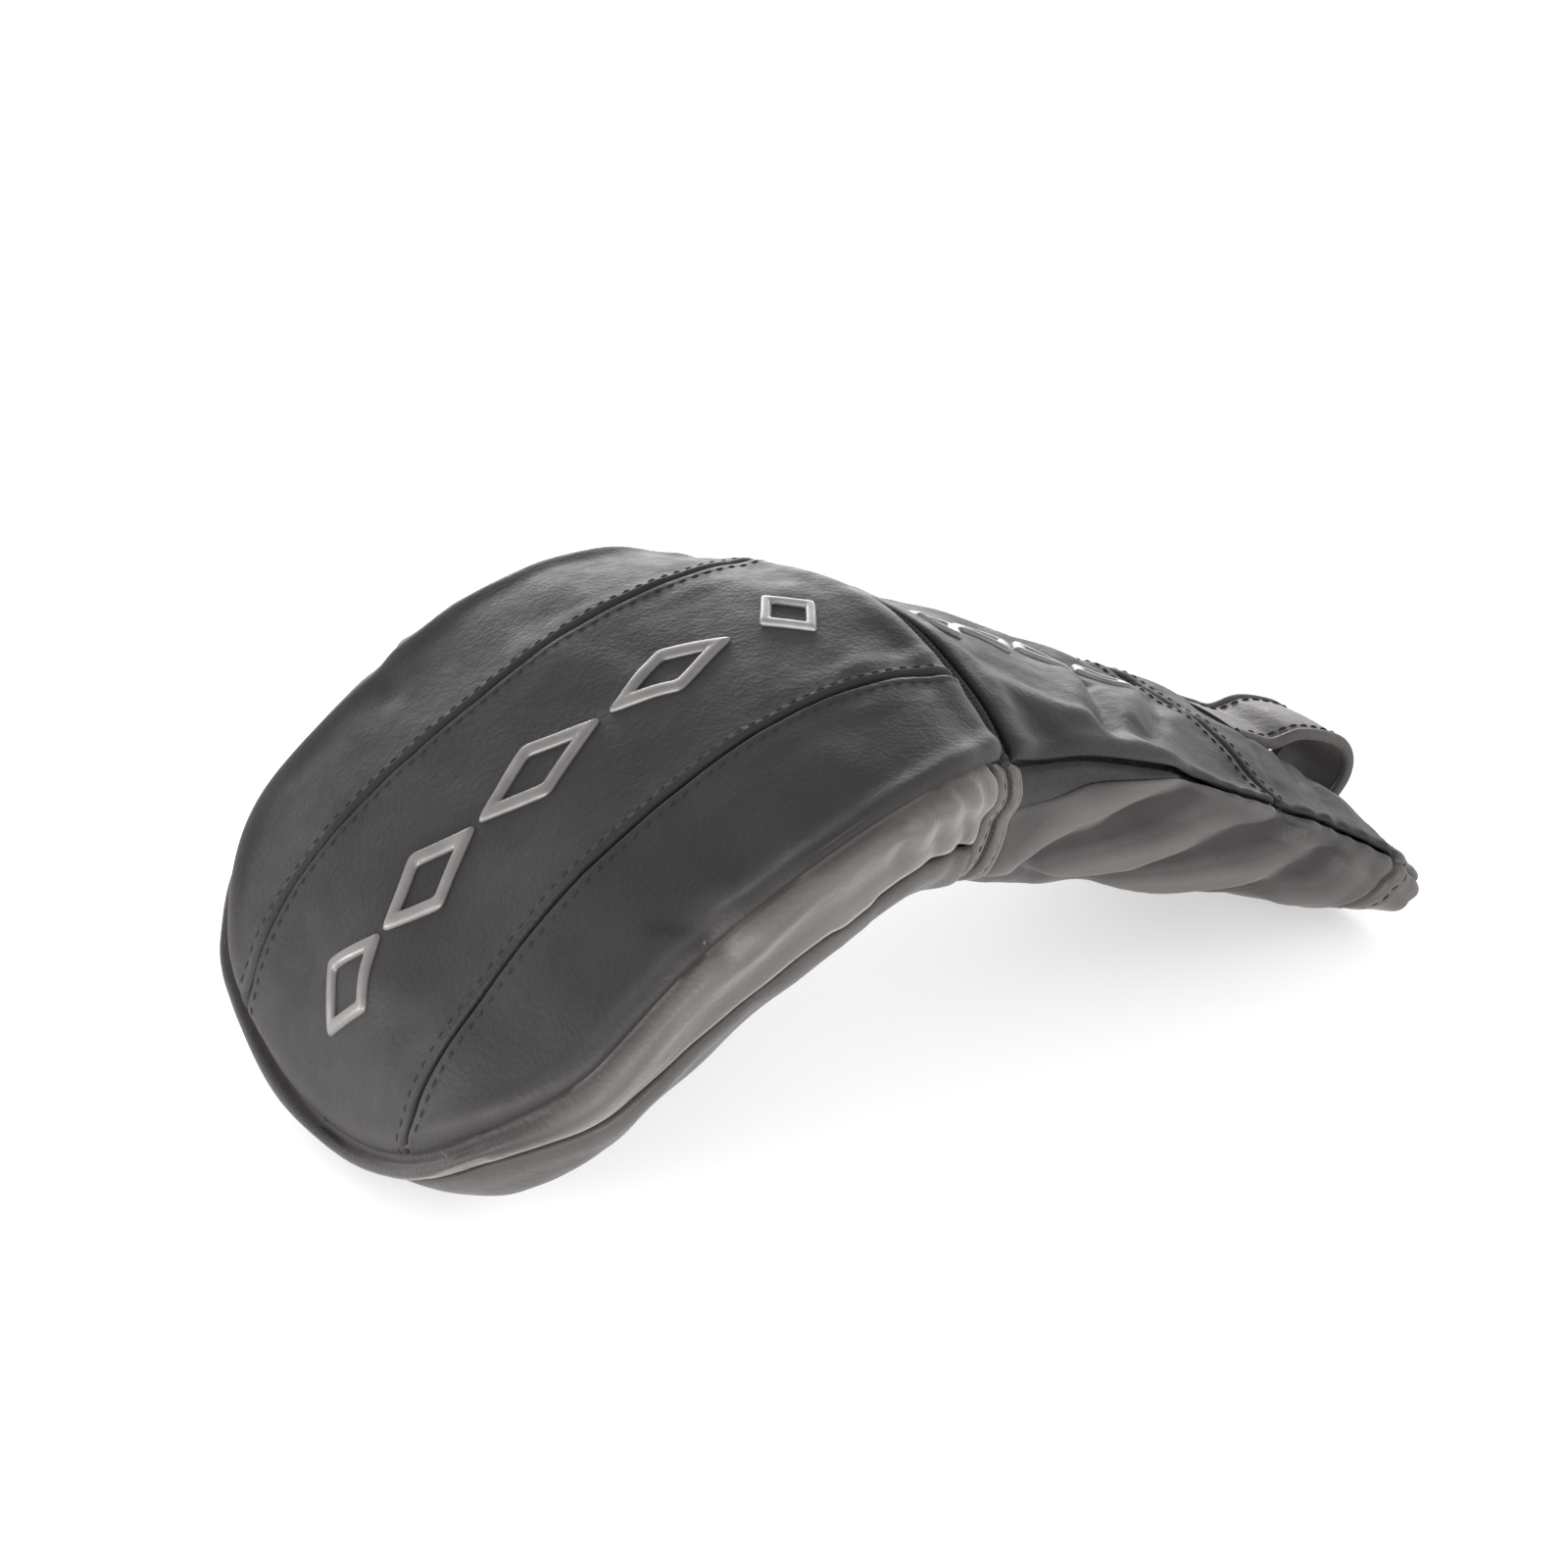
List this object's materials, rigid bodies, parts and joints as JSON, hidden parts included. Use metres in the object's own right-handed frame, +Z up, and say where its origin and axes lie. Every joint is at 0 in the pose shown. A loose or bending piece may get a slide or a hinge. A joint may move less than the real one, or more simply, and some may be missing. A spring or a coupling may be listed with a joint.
{
  "type": "golf driver head cover",
  "caption": "Padded leather-look head cover for a golf driver: domed panelled head pocket, elastic throat, drooping neck sleeve with a cuffed mouth, and a pull tab loop.",
  "frame": {"origin": "middle of the bounding box's bottom face, on the surface the cover stands on", "axes": "+X from the toe of the head pocket towards the mouth of the neck sleeve, +Y across the cover to its left side, +Z up"},
  "size_m": [0.2808, 0.1556, 0.0996],
  "materials": {
    "leather": "matte pebbled synthetic leather, charcoal",
    "leather_under": "matte synthetic leather, near black",
    "hem_leather": "folded and stitched synthetic leather",
    "stretch_felt": "brushed stretch fabric, charcoal",
    "elastic": "ribbed elastic webbing, black",
    "fleece": "short pile fleece, grey",
    "foam": "soft laminated foam, hidden",
    "moulded_mark": "moulded soft rubber with a gunmetal face",
    "thread": "bonded polyester thread, black"
  },
  "bodies": {
    "head": {"crown_center_panel": "leather", "crown_side_panel_left": "leather", "crown_side_panel_right": "leather", "gusset_band": "leather", "under_panel": "leather_under", "crown_padding": "foam", "head_lining": "fleece", "throat_hem_head": "hem_leather", "elastic_ring": "elastic", "crown_mark_1": "moulded_mark", "crown_mark_2": "moulded_mark", "crown_mark_3": "moulded_mark", "crown_mark_4": "moulded_mark", "heel_badge": "moulded_mark", "seam_thread_left_inner": "thread", "seam_thread_left_outer": "thread", "seam_thread_right_inner": "thread", "seam_thread_right_outer": "thread"},
    "neck": {"throat_hem_neck": "hem_leather", "neck_top_panel": "leather", "stretch_gore_left": "stretch_felt", "stretch_gore_right": "stretch_felt", "neck_under_panel": "leather_under", "cuff_panel": "leather", "mouth_hem": "hem_leather", "neck_lining": "fleece", "neck_mark_1": "moulded_mark", "neck_mark_2": "moulded_mark", "neck_mark_3": "moulded_mark", "neck_mark_4": "moulded_mark", "cross_seam_thread_upper": "thread", "cross_seam_thread_lower": "thread"},
    "pull_tab": {"pull_tab_strap": "leather", "pull_tab_binding_left": "hem_leather", "pull_tab_binding_right": "hem_leather"}
  },
  "joints": [
    {"name": "neck_bend", "type": "hinge", "parent": "head", "child": "neck", "pos_m": [0.0094, 0, 0.0935], "axis": [0, -1, 0], "range_deg": [-4, 36], "deforming": ["elastic_ring"]},
    {"name": "pull_tab_flap", "type": "hinge", "parent": "neck", "child": "pull_tab", "pos_m": [0.1139, -0.004, 0.0378], "axis": [0, -1, 0], "range_deg": [-3, 60], "stiffness_Nm_per_rad": 0.02}
  ]
}
